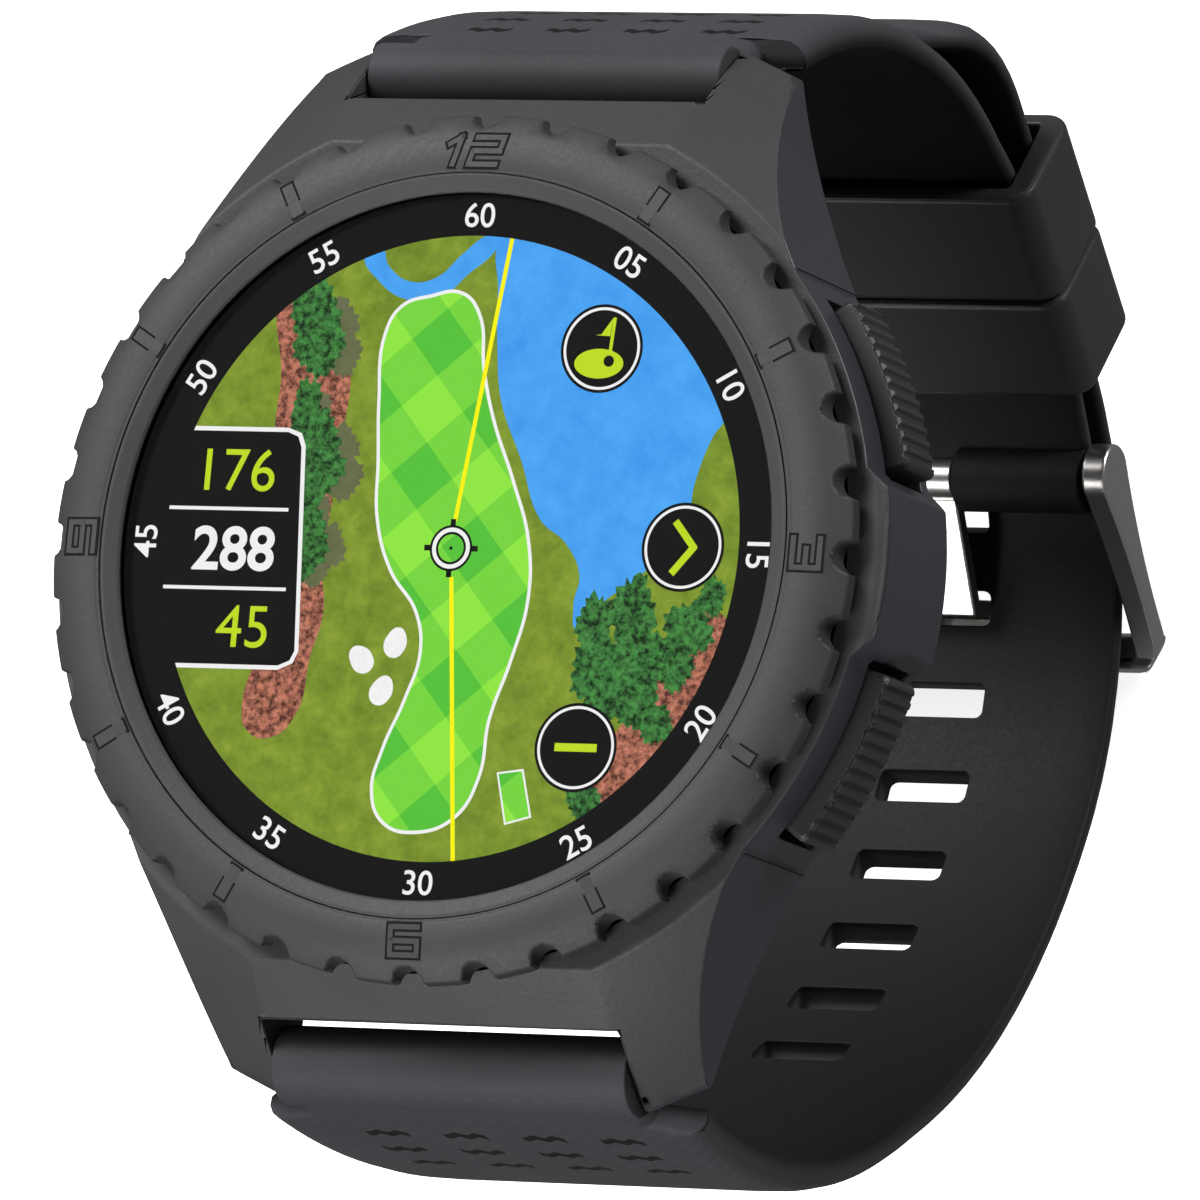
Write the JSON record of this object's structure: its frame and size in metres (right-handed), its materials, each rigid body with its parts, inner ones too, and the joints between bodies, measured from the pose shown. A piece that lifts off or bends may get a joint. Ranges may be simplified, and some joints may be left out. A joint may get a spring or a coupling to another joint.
{
  "type": "golf gps watch",
  "caption": "Round golf GPS watch with notched bezel, side buttons and a buckled silicone strap, showing a course map.",
  "frame": {"origin": "centre of the back cover's outer face, which rests on the wrist", "axes": "+Z out of the glass, +Y to 12 o'clock, +X to 3 o'clock and the buttons"},
  "size_m": [0.0508, 0.0701, 0.0738],
  "materials": {
    "back_polymer": "fine matte black polymer",
    "bezel": "matte dark grey with fine grain, outlined hour marks",
    "board": "solder-masked circuit board",
    "button": "black moulded plastic with ribs",
    "case_polymer": "fibre-filled polymer, matte grained deck and crown, satin side wall",
    "chip": "black moulded packages",
    "display": "emissive colour display, bonded",
    "flex": "amber polyimide flexible circuit",
    "foil": "aluminium pouch foil",
    "frame_plastic": "inner plastic parts",
    "glass": "clear toughened cover glass",
    "gold": "gold plated contacts",
    "seal": "nitrile and silicone seals",
    "silicone": "soft matte silicone",
    "steel": "satin stainless steel with polished edges"
  },
  "bodies": {
    "watch": {"case": "case_polymer", "bezel_ring": "bezel", "cover_glass": "glass", "back_cover": "back_polymer", "back_cover_screws": "steel", "charge_contacts": "gold", "touch_panel": "glass", "display_panel": "display", "display_flex": "flex", "chassis": "frame_plastic", "main_board": "board", "shield_can": "steel", "processor_chip": "chip", "gnss_receiver_chip": "chip", "motion_sensor_chip": "chip", "display_connector": "chip", "gnss_antenna": "flex", "battery": "foil", "motor_base": "steel", "motor_can": "steel", "back_gasket": "seal", "glass_gasket": "seal", "button_flex": "flex", "upper_stem_seal": "seal", "lower_stem_seal": "seal", "upper_switch": "steel", "lower_switch": "steel", "upper_switch_plunger": "frame_plastic", "lower_switch_plunger": "frame_plastic", "twelve_bar_tube": "steel", "twelve_bar_spring": "steel", "six_bar_tube": "steel", "six_bar_spring": "steel", "buckle_bar_tube": "steel", "buckle_bar_spring": "steel", "long_strap": "silicone", "short_strap": "silicone", "keeper_fixed": "silicone"},
    "upper_button": {"upper_button_cap": "button", "upper_button_stem": "steel", "upper_stem_clip": "steel", "upper_return_spring": "steel"},
    "lower_button": {"lower_button_cap": "button", "lower_button_stem": "steel", "lower_stem_clip": "steel", "lower_return_spring": "steel"},
    "motor_rotor": {"motor_rotor": "steel"},
    "keeper_free": {"keeper_free": "silicone"},
    "buckle_frame": {"buckle_frame": "steel"},
    "buckle_tongue": {"buckle_tongue": "steel"},
    "twelve_bar_right_tip": {"twelve_bar_right_tip": "steel"},
    "twelve_bar_left_tip": {"twelve_bar_left_tip": "steel"},
    "six_bar_right_tip": {"six_bar_right_tip": "steel"},
    "six_bar_left_tip": {"six_bar_left_tip": "steel"},
    "buckle_bar_right_tip": {"buckle_bar_right_tip": "steel"},
    "buckle_bar_left_tip": {"buckle_bar_left_tip": "steel"}
  },
  "joints": [
    {"name": "upper_button_press", "type": "slide", "parent": "watch", "child": "upper_button", "axis": [-0.91, -0.4147, 0], "range_m": [0, 0.0005], "stiffness_N_per_m": 1500, "springref_m": -0.0006},
    {"name": "lower_button_press", "type": "slide", "parent": "watch", "child": "lower_button", "axis": [-0.91, 0.4147, 0], "range_m": [0, 0.0005], "stiffness_N_per_m": 1500, "springref_m": -0.0006},
    {"name": "motor_spin", "type": "hinge", "parent": "watch", "child": "motor_rotor", "pos_m": [0, -0.0151, 0.0058], "axis": [0, 0, 1], "continuous": true},
    {"name": "keeper_slide", "type": "slide", "parent": "watch", "child": "keeper_free", "axis": [0, 0.6428, 0.766], "range_m": [0, 0.001]},
    {"name": "buckle_frame_hinge", "type": "hinge", "parent": "watch", "child": "buckle_frame", "pos_m": [0, 0.015, -0.0494], "axis": [1, 0, 0], "range_deg": [0, 2.5]},
    {"name": "buckle_tongue_hinge", "type": "hinge", "parent": "buckle_frame", "child": "buckle_tongue", "pos_m": [0, 0.015, -0.0494], "axis": [1, 0, 0], "range_deg": [0, 1.2]},
    {"name": "twelve_bar_right_pin", "type": "slide", "parent": "watch", "child": "twelve_bar_right_tip", "axis": [-1, 0, 0], "range_m": [0, 0.001], "stiffness_N_per_m": 600, "springref_m": -0.0015},
    {"name": "twelve_bar_left_pin", "type": "slide", "parent": "watch", "child": "twelve_bar_left_tip", "axis": [1, 0, 0], "range_m": [0, 0.001], "stiffness_N_per_m": 600, "springref_m": -0.0015},
    {"name": "six_bar_right_pin", "type": "slide", "parent": "watch", "child": "six_bar_right_tip", "axis": [-1, 0, 0], "range_m": [0, 0.001], "stiffness_N_per_m": 600, "springref_m": -0.0015},
    {"name": "six_bar_left_pin", "type": "slide", "parent": "watch", "child": "six_bar_left_tip", "axis": [1, 0, 0], "range_m": [0, 0.001], "stiffness_N_per_m": 600, "springref_m": -0.0015},
    {"name": "buckle_bar_right_pin", "type": "slide", "parent": "watch", "child": "buckle_bar_right_tip", "axis": [-1, 0, 0], "range_m": [0, 0.001], "stiffness_N_per_m": 600, "springref_m": -0.0015},
    {"name": "buckle_bar_left_pin", "type": "slide", "parent": "watch", "child": "buckle_bar_left_tip", "axis": [1, 0, 0], "range_m": [0, 0.001], "stiffness_N_per_m": 600, "springref_m": -0.0015}
  ]
}
